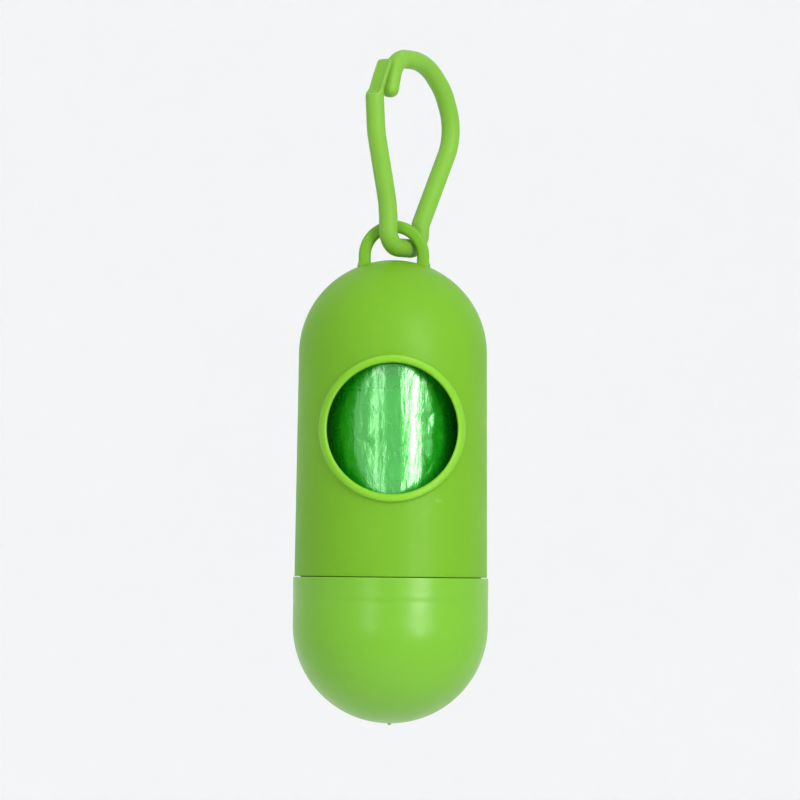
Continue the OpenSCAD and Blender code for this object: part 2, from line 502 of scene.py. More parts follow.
class Draft:
    """A mesh being drawn from rings of points, in millimetres."""

    def __init__(self) -> None:
        """Starts with no points."""
        self.points: list[np.ndarray] = []
        self.faces: list[tuple[int, ...]] = []
        self.count = 0

    def ring(self, points: np.ndarray) -> np.ndarray:
        """Adds points.

        Args:
            points: One row of x, y, z for each point.

        Returns:
            Their numbers, in the same order.
        """
        points = np.asarray(points, float).reshape(-1, 3)
        self.points.append(points)
        self.count += len(points)
        return np.arange(self.count - len(points), self.count)

    def wall(self, first: np.ndarray, second: np.ndarray, closed: bool = True) -> None:
        """Joins two rings of the same length with a band of quads.

        Args:
            first: The first ring.
            second: The second ring.
            closed: Whether the band goes all the way round.
        """
        size = len(first)
        for i in range(size if closed else size - 1):
            j = (i + 1) % size
            self.faces.append((int(first[i]), int(first[j]), int(second[j]), int(second[i])))

    def tube(self, rings: Sequence[np.ndarray], loop: bool = False) -> None:
        """Joins each ring to the next one, and the last to the first in a loop.

        Args:
            rings: The rings, in order.
            loop: Whether the tube closes on itself.
        """
        for first, second in zip(rings[:-1], rings[1:]):
            self.wall(first, second)
        if loop:
            self.wall(rings[-1], rings[0])

    def close(self, ring: np.ndarray, tip: Sequence[float]) -> None:
        """Closes a ring with triangles that meet in a tip.

        Args:
            ring: The ring.
            tip: Place of the tip.
        """
        centre = int(self.ring(np.array([tip]))[0])
        for i in range(len(ring)):
            self.faces.append((int(ring[i]), int(ring[(i + 1) % len(ring)]), centre))

    def build(self, name: str, sharp: float = 40.0) -> Piece:
        """Turns the draft into an object.

        Args:
            name: The piece's name.
            sharp: Angle in degrees above which an edge is shaded sharp.

        Returns:
            The object, in metres, with its faces turned outwards.
        """
        mesh = bpy.data.meshes.new(name)
        mesh.from_pydata((np.vstack(self.points) * MM).tolist(), [], self.faces)
        work = bmesh.new()
        work.from_mesh(mesh)
        loose = [v for v in work.verts if not v.link_faces]
        bmesh.ops.delete(work, geom=loose, context="VERTS")
        bmesh.ops.recalc_face_normals(work, faces=work.faces)
        work.to_mesh(mesh)
        work.free()
        for polygon in mesh.polygons:
            polygon.use_smooth = True
        mesh.set_sharp_from_angle(angle=math.radians(sharp))
        piece = bpy.data.objects.new(name, mesh)
        bpy.context.scene.collection.objects.link(piece)
        return piece


def dress(
    piece: Piece, finish: Look, slot: Slot, *nodes: str
) -> Piece:
    """Gives a piece its material and hides the CAD nodes that it stands for.

    Args:
        piece: The new piece.
        finish: Its material.
        slot: The record's slot for that material; not used.
        nodes: The CAD nodes that it replaces.

    Returns:
        The piece.
    """
    piece.data.materials.clear()
    piece.data.materials.append(finish)
    if nodes:
        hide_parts(*nodes)
    return piece


def report(piece: Piece) -> None:
    """Logs a piece with its size in millimetres and its number of faces."""
    size = " x ".join(f"{side / MM:.1f}" for side in piece.dimensions)
    LOG.info("%s: %s mm, %d faces", piece.name, size, len(piece.data.polygons))


def eased(share: Numbers) -> Numbers:
    """Smooth step from 0 to 1."""
    share = np.clip(share, 0.0, 1.0)
    return share * share * (3.0 - 2.0 * share)


def arc(
    centre: tuple[float, float], radius: float, start: float, end: float, steps: int
) -> Profile:
    """Points of an arc in a profile, from start to end in degrees, both included.

    Args:
        centre: The arc's centre.
        radius: Its radius.
        start: Angle of the first point.
        end: Angle of the last point.
        steps: Number of steps between them.

    Returns:
        The points.
    """
    angles = np.radians(np.linspace(start, end, steps + 1))
    return [(centre[0] + radius * math.cos(a), centre[1] + radius * math.sin(a)) for a in angles]


@dataclass(frozen=True)
class Place:
    """Where the capsule hangs: its axis and the top of its shell, from the frame."""

    x: float
    y: float
    top: float

    @classmethod
    def from_frame(cls, shell_h: float, seam_gap: float) -> "Place":
        """Reads the capsule's axis and top from the cap's box.

        Args:
            shell_h: Height of the shell above the seam.
            seam_gap: Opening between the shell and the cap.

        Returns:
            The place.
        """
        low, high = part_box("cap")
        return cls(
            x=(low.x + high.x) / 2 / MM,
            y=(low.y + high.y) / 2 / MM,
            top=high.z / MM + seam_gap + shell_h,
        )

    def put(self, points: np.ndarray) -> np.ndarray:
        """Moves points drawn from the top of the capsule to where it hangs."""
        return np.asarray(points, float) + np.array([self.x, self.y, self.top])

    def turned(self, radius: Numbers, angle: np.ndarray, height: Numbers) -> np.ndarray:
        """Points on the capsule at a radius, an angle in radians and a height."""
        radius, height = radius + 0.0 * angle, height + 0.0 * angle
        return self.put(np.column_stack((radius * np.sin(angle), -radius * np.cos(angle), height)))


# --------------------------------------------------------------------------- the clip


@dataclass(frozen=True)
class Corner:
    """A corner of the rod's route in the clip's plane, with the radius of its bend."""

    along: float
    up: float
    bend: float = 0.0


class Route:
    """A line of straights and bends in the clip's plane."""

    def __init__(self, corners: Sequence[Corner], step: float = 0.16) -> None:
        """Works out closely spaced points along the route.

        Args:
            corners: The route's corners. The first and last have no bend.
            step: Distance between the points.
        """
        spots = [np.array([c.along, c.up]) for c in corners]
        line = [spots[0]]
        for before, corner, after, c in zip(spots, spots[1:], spots[2:], corners[1:-1]):
            back = (before - corner) / np.linalg.norm(before - corner)
            ahead = (after - corner) / np.linalg.norm(after - corner)
            opening = math.acos(float(np.clip(back @ ahead, -1, 1)))
            reach = c.bend / math.tan(opening / 2)
            inward = (back + ahead) / np.linalg.norm(back + ahead)
            middle = corner + inward * c.bend / math.sin(opening / 2)
            first = math.atan2(*(corner + back * reach - middle)[::-1])
            last = math.atan2(*(corner + ahead * reach - middle)[::-1])
            turn = (last - first + math.pi) % (2 * math.pi) - math.pi
            for k in range(25):
                angle = first + turn * k / 24
                line.append(middle + c.bend * np.array([math.cos(angle), math.sin(angle)]))
        line.append(spots[-1])
        rough = np.array(line)
        gaps = np.r_[0, np.cumsum(np.linalg.norm(np.diff(rough, axis=0), axis=1))]
        self.length = float(gaps[-1])
        self.marks = np.linspace(0, self.length, max(3, int(self.length / step) + 1))
        self.points = np.column_stack([np.interp(self.marks, gaps, rough[:, k]) for k in (0, 1)])
        for _ in range(2):
            self.points[1:-1] = (self.points[:-2] + 2 * self.points[1:-1] + self.points[2:]) / 4
        ahead = np.gradient(self.points, axis=0)
        self.ahead = ahead / np.linalg.norm(ahead, axis=1)[:, None]
        self.out = np.column_stack((-self.ahead[:, 1], self.ahead[:, 0]))


@dataclass
class Clip:
    """One-piece spring clip: a frame with its loop and nose, and a gate with a latch."""

    rod_r: float = 1.9
    turn: float = 54.0
    stem_l: float = 6.8
    stem_r: float = 4.4
    bend_drop: float = 37.0
    pivot_drop: float = 27.7
    hinge_lean: float = 0.4
    lean_drop: float = 3.3
    lean_bend: float = 6.0
    hinge_bend: float = 20.0
    eye_bend: float = 3.6
    knee_rise: float = 4.85
    knee_bend: float = 3.0
    split_along: float = -1.2
    nose_corner: float = 1.8
    nose_lean: float = 0.4
    nose_drop: float = 4.4
    nose_bend: float = 4.6
    bow_lean: float = 4.5
    bow_drop: float = 13.8
    bow_bend: float = 16.0
    shoulder_lean: float = 5.2
    shoulder_drop: float = 6.0
    shoulder_bend: float = 5.0
    loop_side: Corner = Corner(16.3, -12.3, 10.2)
    loop_shoulder: Corner = Corner(12.2, -3.9, 11.5)
    crown_along: float = 5.7
    crown_bend: float = 12.7
    latch_knee: Corner = Corner(-10.35, -2.3, 6.0)
    latch_tip: Corner = Corner(-8.3, 1.65)
    tip_l: float = 1.15
    nose_blunt: float = 2.3
    tip_blunt: float = 2.6
    neck_r: float = 1.6
    neck_flat: float = 0.3
    scoop_l: float = 1.6
    witness: float = 0.035
    witness_deg: float = 3.0
    flex_l: float = 8.0
    sides: int = 72

    def loop_route(self) -> Route:
        """Route from the split in the eye, up the far stem and round to the nose."""
        return Route([
            Corner(self.split_along, -self.bend_drop),
            Corner(self.stem_r, -self.bend_drop, self.eye_bend),
            Corner(self.stem_r, -self.bend_drop + self.knee_rise, self.knee_bend),
            self.loop_side,
            self.loop_shoulder,
            Corner(self.crown_along, self.rod_r, self.crown_bend),
            Corner(-self.stem_l + self.nose_corner, self.rod_r, self.nose_bend),
            Corner(-self.stem_l - self.nose_lean, -self.nose_drop - self.rod_r),
        ])

    def gate_route(self) -> Route:
        """Route from the split, up the near stem and the gate's arm to the latch's tip."""
        return Route([
            Corner(self.split_along, -self.bend_drop),
            Corner(-self.stem_l, -self.bend_drop, self.eye_bend),
            Corner(-self.stem_l, -self.pivot_drop - self.lean_drop, self.lean_bend),
            Corner(-self.stem_l - self.hinge_lean, -self.pivot_drop, self.hinge_bend),
            Corner(-self.stem_l - self.bow_lean, -self.bow_drop, self.bow_bend),
            Corner(
                -self.stem_l - self.shoulder_lean, -self.shoulder_drop, self.shoulder_bend
            ),
            self.latch_knee,
            self.latch_tip,
        ], step=0.12)

    def stand(self, along: np.ndarray, up: np.ndarray, across: np.ndarray) -> np.ndarray:
        """Stands points of the clip's plane upright, turned to the eye.

        Args:
            along: Places along the clip.
            up: Places up the clip.
            across: Distances from the clip's plane.

        Returns:
            One row of x, y, z for each point.
        """
        c, s = math.cos(math.radians(self.turn)), math.sin(math.radians(self.turn))
        return np.column_stack((along * c - across * s, along * s + across * c, up))

    def rib(self, angle: np.ndarray) -> np.ndarray:
        """Height of the mould's parting line round the rod's section.

        Args:
            angle: Angles round the section.

        Returns:
            The heights.
        """
        away = np.minimum(np.abs(np.sin(angle)), 1.0)
        return self.witness * np.exp(-(np.degrees(np.arcsin(away)) / self.witness_deg) ** 2)

    def angles(self) -> np.ndarray:
        """Angles round the section, closer together at the parting line."""
        even = np.arange(self.sides) / self.sides * 2 * math.pi
        return even - 0.42 * np.sin(2 * even) / 2

    def sweep(self, draft: Draft, route: Route, section: Section) -> list[np.ndarray]:
        """Sweeps a section along a route.

        Args:
            draft: The mesh to draw in.
            route: The line to follow.
            section: Gives, for a point's number and the angles, the places outwards in
                the clip's plane and across it.

        Returns:
            The rings, from the route's start to its end.
        """
        rings = []
        angle = self.angles()
        for i in range(len(route.points)):
            out, across = section(i, angle)
            spot, normal = route.points[i], route.out[i]
            rings.append(draft.ring(self.stand(
                spot[0] + out * normal[0], spot[1] + out * normal[1], across
            )))
        draft.tube(rings)
        return rings

    def shut(self, draft: Draft, route: Route, ring: np.ndarray, end: int, bulge: float) -> None:
        """Closes an end of the rod, with a tip that stands out by a bulge.

        Args:
            draft: The mesh to draw in.
            route: The line of the rod.
            ring: The ring at its end.
            end: Number of the point at its end.
            bulge: Distance that the tip stands out.
        """
        spot = route.points[end] + route.ahead[end] * bulge
        tip = self.stand(np.array([spot[0]]), np.array([spot[1]]), np.array([0.0]))[0]
        draft.close(ring, tip)

    def build_loop(self) -> Piece:
        """Builds the frame's loop, from the eye round to its blunt round nose."""
        draft, route = Draft(), self.loop_route()

        def section(i: int, angle: np.ndarray) -> tuple[np.ndarray, np.ndarray]:
            """Gives the rod's round section, rounded off at the nose."""
            left = (route.length - route.marks[i]) / self.rod_r
            round_off = math.sqrt(max(0.0, 1 - max(0.0, 1 - left) ** self.nose_blunt))
            radius = (self.rod_r + self.rib(angle)) * max(round_off, 0.05)
            return radius * np.cos(angle), radius * np.sin(angle)

        rings = self.sweep(draft, route, section)
        self.shut(draft, route, rings[0], 0, 0.0)
        self.shut(draft, route, rings[-1], len(rings) - 1, 0.02)
        return draft.build("clip_loop")

    def build_gate(self) -> Piece:
        """Builds the near stem, the gate's arm and its scooped latch."""
        draft, route = Draft(), self.gate_route()
        up = route.points[:, 1]
        high = route.marks > route.marks[np.argmax(up > -self.bow_drop)]
        start = float(route.marks[high & (up > -self.shoulder_drop - 0.3)][0])

        def section(i: int, angle: np.ndarray) -> tuple[np.ndarray, np.ndarray]:
            """Gives the arm's section, which steps into the scooped latch."""
            past = (route.marks[i] - start) / self.scoop_l
            slim = float(eased(past))
            radius = self.rod_r + (self.neck_r - self.rod_r) * slim + self.rib(angle)
            out, across = radius * np.cos(angle), radius * np.sin(angle)
            if past > 0:
                t = 1 - min(1.0, past)
                limit = self.neck_flat + (self.rod_r - self.neck_flat) * (1 - math.sqrt(1 - t * t))
                hollow = 0.1 * (1 - (across / self.neck_r) ** 2) * slim
                soft = 0.09
                over = out - limit
                out = limit + 0.5 * (over - np.sqrt(over * over + soft * soft))
                out = out - hollow * (over > -soft)
            left = (route.length - route.marks[i]) / self.tip_l
            round_off = math.sqrt(max(0.0, 1 - max(0.0, 1 - left) ** self.tip_blunt))
            keep = max(round_off, 0.04)
            middle = (self.neck_flat - self.neck_r) / 2 if past > 0 else 0.0
            return middle + (out - middle) * keep, across * (keep if past > 0 else 1.0)

        rings = self.sweep(draft, route, section)
        self.shut(draft, route, rings[0], 0, 0.0)
        last = len(rings) - 1
        spot = route.points[last] + route.out[last] * (self.neck_flat - self.neck_r) / 2
        tip = self.stand(np.array([spot[0]]), np.array([spot[1]]), np.array([0.0]))[0]
        draft.close(rings[-1], tip)
        return draft.build("clip_gate_arm")

    def assemble(self, finish: Look) -> list[Piece]:
        """Builds both pieces of the clip and ties the loop to its body; the gate's arm is not tied
        to a body.

        Args:
            finish: The clip's material.

        Returns:
            The pieces.
        """
        loop = dress(self.build_loop(), finish, Slot.CLIP, "clip_frame")
        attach(loop, Body.CLIP.value)
        gate = dress(self.build_gate(), finish, Slot.CLIP, "clip_gate")
        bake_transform(gate)
        return [loop, gate]


# --------------------------------------------------------------------------- the shell


@dataclass
class Shell:
    """Moulded shell with its dispensing hole, its snap neck and the eye for the clip."""

    dome_r: float = 19.3
    foot_r: float = 19.75
    shell_h: float = 65.0
    bore_r: float = 17.4
    hole_r: float = 13.3
    hole_drop: float = 35.0
    rim_w: float = 1.6
    rim_proud: float = 1.1
    neck_h: float = 9.0
    neck_wall: float = 1.05
    bead_proud: float = 0.2
    bead_w: float = 1.6
    bead_drop: float = 4.7
    seam_gap: float = 0.15
    seam_round: float = 0.12
    eye_r: float = 6.0
    eye_bar_r: float = 1.25
    eye_thick: float = 1.12
    eye_rise: float = 0.9
    eye_foot: float = 2.2
    columns: int = 240
    patch_columns: int = 40
    patch_rows: int = 34
    patch_rings: int = 12

    def wall_r(self, height: Numbers) -> Numbers:
        """Outer radius of the wall at a height below the dome.

        Args:
            height: Height from the shell's top, which is negative.

        Returns:
            The radius.
        """
        share = (-height - self.dome_r) / (self.shell_h - self.dome_r)
        return self.dome_r + (self.foot_r - self.dome_r) * share

    def rim_place(self, place: Place) -> tuple[Vector, float, float]:
        """Centre of the hole on the capsule's axis and the rim's two radii, in metres.

        Args:
            place: Where the capsule hangs.

        Returns:
            The centre, the inner radius and the outer radius.
        """
        centre = Vector((place.x, place.y, place.top - self.hole_drop)) * MM
        return centre, self.hole_r * MM, (self.hole_r + 1.06 * self.rim_w) * MM

    def rim_profile(self) -> Profile:
        """Rim's section: distance from the hole's edge, and height above the wall."""
        width, proud = self.rim_w, self.rim_proud
        shares = [
            (1.2, 0.0), (1.1, 0.02), (1.04, 0.09), (1.0, 0.25), (0.99, 0.48), (0.95, 0.7),
            (0.87, 0.87), (0.75, 0.97), (0.6, 1.0), (0.45, 0.99), (0.3, 0.95), (0.16, 0.84),
            (0.06, 0.68), (0.0, 0.48), (0.0, 0.24),
        ]
        return [(self.hole_r + width * a, proud * b) for a, b in shares]

    def lathe(self) -> Profile:
        """Shell's closed profile as radius and height, with the patch rows first in each wall."""
        top, foot = -self.dome_r, -self.shell_h
        neck_r = self.bore_r + self.neck_wall
        bead = foot - self.bead_drop
        end = foot - self.neck_h
        outer = [(self.dome_r * math.sin(a), top + self.dome_r * math.cos(a))
                 for a in np.radians(np.linspace(0, 90, 49))[1:-1]]
        self.outer_start = len(outer)
        outer += [(float(self.wall_r(z)), z) for z in self.patch_heights()]
        below = np.linspace(self.patch_heights()[-1], foot + 0.6, 14)[1:]
        outer += [(float(self.wall_r(z)), z) for z in below]
        r = self.seam_round
        outer += arc((self.foot_r - r, foot + r), r, 0, -90, 6)
        neck = [
            (neck_r + 0.12, foot), (neck_r, foot - 0.12), (neck_r, bead + self.bead_w / 2 + 0.1),
            (neck_r + 0.03, bead + self.bead_w / 2 - 0.05),
        ]
        neck += [
            (neck_r + self.bead_proud * math.cos(math.pi / 2 * s) ** 0.7,
             bead - s * self.bead_w / 2)
            for s in np.linspace(-0.9, 0.9, 11)
        ]
        neck += [(neck_r, bead - self.bead_w / 2 - 0.1), (neck_r, end + 0.35)]
        neck += arc((neck_r - 0.3, end + 0.3), 0.3, 0, -90, 5)
        neck += arc((self.bore_r + 0.2, end + 0.2), 0.2, -90, -180, 4)
        low = list(np.linspace(end + 0.6, self.patch_heights()[-1], 16)[:-1])
        inner = [(self.bore_r, z) for z in low]
        self.inner_start = len(outer) + len(neck) + len(inner)
        inner += [(self.bore_r, z) for z in self.patch_heights()[::-1]]
        inner += [(self.bore_r * math.sin(a), top + self.bore_r * math.cos(a))
                  for a in np.radians(np.linspace(90, 0, 37))[1:-1]]
        return outer + neck + inner

    def patch_heights(self) -> np.ndarray:
        """Heights of the rows that the hole's patch takes up."""
        reach = self.hole_drop - self.dome_r
        return -self.hole_drop + np.linspace(reach, -reach, self.patch_rows)

    def edge_of_patch(self) -> list[tuple[int, int]]:
        """Goes once round the patch's edge, as row and column."""
        last, side = self.patch_rows - 1, self.patch_columns
        loop = [(0, c) for c in range(-side, side + 1)]
        loop += [(r, side) for r in range(1, last + 1)]
        loop += [(last, c) for c in range(side - 1, -side - 1, -1)]
        loop += [(r, -side) for r in range(last - 1, 0, -1)]
        return loop

    def build_body(self, place: Place) -> Piece:
        """Builds the shell's wall, its rimmed hole and its neck as one closed mesh.

        Args:
            place: Where the capsule hangs.

        Returns:
            The piece.
        """
        draft = Draft()
        angle = np.arange(self.columns) / self.columns * 2 * math.pi
        profile = self.lathe()
        rings = [draft.ring(place.turned(r, angle, z)) for r, z in profile]
        draft.close(rings[0], place.put([[0, 0, 0]])[0])
        draft.close(rings[-1], place.put([[0, 0, self.bore_r - self.dome_r]])[0])
        open_rows = set()
        for start in (self.outer_start, self.inner_start):
            open_rows |= set(range(start, start + self.patch_rows - 1))
        around = list(range(self.patch_columns, self.columns - self.patch_columns + 1))
        for i in range(len(rings) - 1):
            if i in open_rows:
                draft.wall(rings[i][around], rings[i + 1][around], closed=False)
            else:
                draft.wall(rings[i], rings[i + 1])
        self.add_hole(draft, place, rings)
        return draft.build("shell_body")

    def add_hole(self, draft: Draft, place: Place, rings: list[np.ndarray]) -> None:
        """Fills the patches round the hole, with the rim outside and the edge inside.

        Args:
            draft: The shell's mesh.
            place: Where the capsule hangs.
            rings: The lathe's rings, with their patches open.
        """
        loop = self.edge_of_patch()
        heights = self.patch_heights()
        turn = np.array([c for _, c in loop]) / self.columns * 2 * math.pi
        z_edge = np.array([heights[r] for r, _ in loop])
        x_edge = self.wall_r(z_edge) * np.sin(turn)
        phi = np.arctan2(z_edge + self.hole_drop, x_edge)

        def on_wall(x: np.ndarray, z: np.ndarray, radius: Numbers) -> np.ndarray:
            """Adds points on the front of a round wall."""
            return draft.ring(place.put(np.column_stack((x, -np.sqrt(radius ** 2 - x * x), z))))

        def round_hole(
            distance: float, radius: Callable[[np.ndarray], Numbers]
        ) -> np.ndarray:
            """Adds a ring at a distance from the hole's centre."""
            z = -self.hole_drop + distance * np.sin(phi)
            return on_wall(distance * np.cos(phi), z, radius(z))

        rim = self.rim_profile()
        outer_edge = np.array([rings[self.outer_start + r][c % self.columns] for r, c in loop])
        steps = [outer_edge]
        for k in range(1, self.patch_rings + 1):
            t = k / (self.patch_rings + 1)
            x = x_edge + (rim[0][0] * np.cos(phi) - x_edge) * t
            z = z_edge + (-self.hole_drop + rim[0][0] * np.sin(phi) - z_edge) * t
            steps.append(on_wall(x, z, self.wall_r(z)))
        for distance, proud in rim:
            steps.append(round_hole(distance, lambda z, p=proud: self.wall_r(z) + p))
        for share in (0.15, 0.5, 0.9):
            steps.append(round_hole(
                self.hole_r, lambda z, s=share: self.wall_r(z) * (1 - s) + self.bore_r * s
            ))
        steps.append(round_hole(self.hole_r + 0.06, lambda z: self.bore_r + 0.03))
        steps.append(round_hole(self.hole_r + 0.2, lambda z: self.bore_r))
        x_in = self.bore_r * np.sin(turn)
        for k in range(1, 8):
            t = k / 8
            near = self.hole_r + 0.2
            x = near * np.cos(phi) * (1 - t) + x_in * t
            z = (-self.hole_drop + near * np.sin(phi)) * (1 - t) + z_edge * t
            steps.append(on_wall(x, z, self.bore_r))
        last = self.patch_rows - 1
        steps.append(np.array([
            rings[self.inner_start + last - r][c % self.columns] for r, c in loop
        ]))
        draft.tube(steps)

    def build_eye(self, place: Place) -> Piece:
        """Builds the eye, a flat-faced arch whose legs flare into the dome.

        Args:
            place: Where the capsule hangs.

        Returns:
            The piece.
        """
        draft = Draft()
        low, rise, r = -self.eye_foot, self.eye_rise, self.eye_r
        legs = np.linspace(low, rise, 24)[:-1]
        line = [(-r, z, -1.0, 0.0) for z in legs]
        line += [(-r * math.cos(a), rise + r * math.sin(a), -math.cos(a), math.sin(a))
                 for a in np.linspace(0, math.pi, 97)]
        line += [(r, z, 1.0, 0.0) for z in legs[::-1]]
        dome = -self.dome_r + math.sqrt(self.dome_r ** 2 - r ** 2)
        angle = np.arange(56) / 56 * 2 * math.pi
        power = 2 / 3.0
        wide = np.sign(np.cos(angle)) * np.abs(np.cos(angle)) ** power
        deep = np.sign(np.sin(angle)) * np.abs(np.sin(angle)) ** power
        rings = []
        for x, z, nx, nz in line:
            flare = 1 + 0.2 * float(1 - eased((z - dome + 0.3) / 1.5)) ** 2
            reach = self.eye_bar_r * flare * wide
            rings.append(draft.ring(place.put(np.column_stack((
                x + nx * reach, self.eye_thick * (2 * flare - 1) * deep, z + nz * reach,
            )))))
        draft.tube(rings)
        draft.close(rings[0], place.put([[-r, 0, low]])[0])
        draft.close(rings[-1], place.put([[r, 0, low]])[0])
        return draft.build("shell_eye")

    def assemble(self, place: Place, finish: Look) -> list[Piece]:
        """Builds the shell's pieces and rides them on its body.

        Args:
            place: Where the capsule hangs.
            finish: The shell's material.

        Returns:
            The pieces.
        """
        body = dress(self.build_body(place), finish, Slot.SHELL, "shell")
        eye = dress(self.build_eye(place), finish, Slot.SHELL)
        for piece in (body, eye):
            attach(piece, Body.SHELL.value)
        return [body, eye]


# --------------------------------------------------------------------------- the cap


@dataclass
class Cap:
    """Pull-off cap with its snap groove, its ledge and the mark of its mould's gate."""

    cap_r: float = 20.0
    cap_side_h: float = 10.0
    cap_wall: float = 2.1
    seam_drop: float = 65.0
    seam_gap: float = 0.15
    mouth_r: float = 18.72
    groove_r: float = 18.92
    groove_w: float = 2.2
    bead_drop: float = 4.7
    ledge_drop: float = 9.3
    edge_round: float = 0.12
    sink: float = 0.035
    sink_w: float = 0.75
    gate_mark_r: float = 0.45
    gate_mark_h: float = 0.35
    columns: int = 240

    def skin(self, height: float) -> float:
        """Change of the outer radius over the groove, where the wall has drawn in.

        Args:
            height: Height from the shell's top, which is negative.

        Returns:
            The change.
        """
        away = (height + self.seam_drop + self.bead_drop) / self.sink_w
        return self.sink * (math.exp(-(away - 0.9) ** 2) - 1.2 * math.exp(-(away + 0.5) ** 2))

    def lathe(self) -> Profile:
        """Cap's profile as radius and height, from the gate's mark round to the inner dome."""
        centre = -self.seam_drop - self.cap_side_h
        mouth = -self.seam_drop - self.seam_gap
        bottom = centre - self.cap_r
        inner = self.cap_r - self.cap_wall
        mark_r, mark_h = self.gate_mark_r, self.gate_mark_h
        line = [(mark_r * s, bottom - mark_h * (1 - s ** 4)) for s in (0.3, 0.6, 0.8, 0.92)]
        start = math.degrees(math.asin(mark_r / self.cap_r))
        line += arc((0.0, centre), self.cap_r, -90 + start, -1, 52)
        sides = np.linspace(centre, mouth - 0.7, 64)
        line += [(self.cap_r + self.skin(z), z) for z in sides]
        r = self.edge_round
        line += arc((self.cap_r - r, mouth - r), r, 0, 90, 6)
        line += arc((self.mouth_r + 0.25, mouth - 0.25), 0.25, 90, 180, 5)
        groove = -self.seam_drop - self.bead_drop
        half = self.groove_w / 2
        line += [
            (self.mouth_r, groove + half), (self.groove_r, groove + half - 0.2),
            (self.groove_r, groove - half + 0.2), (self.mouth_r, groove - half),
        ]
        ledge = -self.seam_drop - self.ledge_drop
        line += [(self.mouth_r, ledge + 0.15), (self.mouth_r - 0.15, ledge), (inner + 0.2, ledge)]
        line += [(inner, ledge - 0.2)]
        line += arc((0.0, centre), inner, 0, -89, 44)
        return line

    def build(self, place: Place) -> Piece:
        """Builds the cap as one closed mesh.

        Args:
            place: Where the capsule hangs.

        Returns:
            The piece.
        """
        draft = Draft()
        angle = np.arange(self.columns) / self.columns * 2 * math.pi
        rings = [draft.ring(place.turned(r, angle, z)) for r, z in self.lathe()]
        draft.tube(rings)
        bottom = -self.seam_drop - self.cap_side_h - self.cap_r
        draft.close(rings[0], place.put([[0, 0, bottom - self.gate_mark_h]])[0])
        draft.close(rings[-1], place.put([[0, 0, bottom + self.cap_wall]])[0])
        return draft.build("cap_body")

    def assemble(self, place: Place, finish: Look) -> list[Piece]:
        """Builds the cap and rides it on its body.

        Args:
            place: Where the capsule hangs.
            finish: The cap's material.

        Returns:
            The piece, in a list.
        """
        cap = dress(self.build(place), finish, Slot.CAP, "cap")
        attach(cap, Body.CAP.value)
        return [cap]


# --------------------------------------------------------------------------- the roll


@dataclass(frozen=True)
class Facet:
    """A three-sided flat in the film, where it is pinched between two layers."""

    turn: float
    height: float
    size: float
    spin: float
    depth: float

    def dent(self, around: np.ndarray, up: np.ndarray) -> np.ndarray:
        """Depth of the dent at places round and up the roll, in millimetres.

        Args:
            around: Distances round the roll.
            up: Heights from the roll's lower end.

        Returns:
            The depths.
        """
        inside = np.full(around.shape, np.inf)
        x, y = around - self.turn, up - self.height
        for k in range(3):
            a = self.spin + k * 2 * math.pi / 3
            inside = np.minimum(inside, self.size / 2 - (x * math.cos(a) + y * 1.4 * math.sin(a)))
        return self.depth * np.clip(inside / (self.size / 2), 0.0, 1.0)


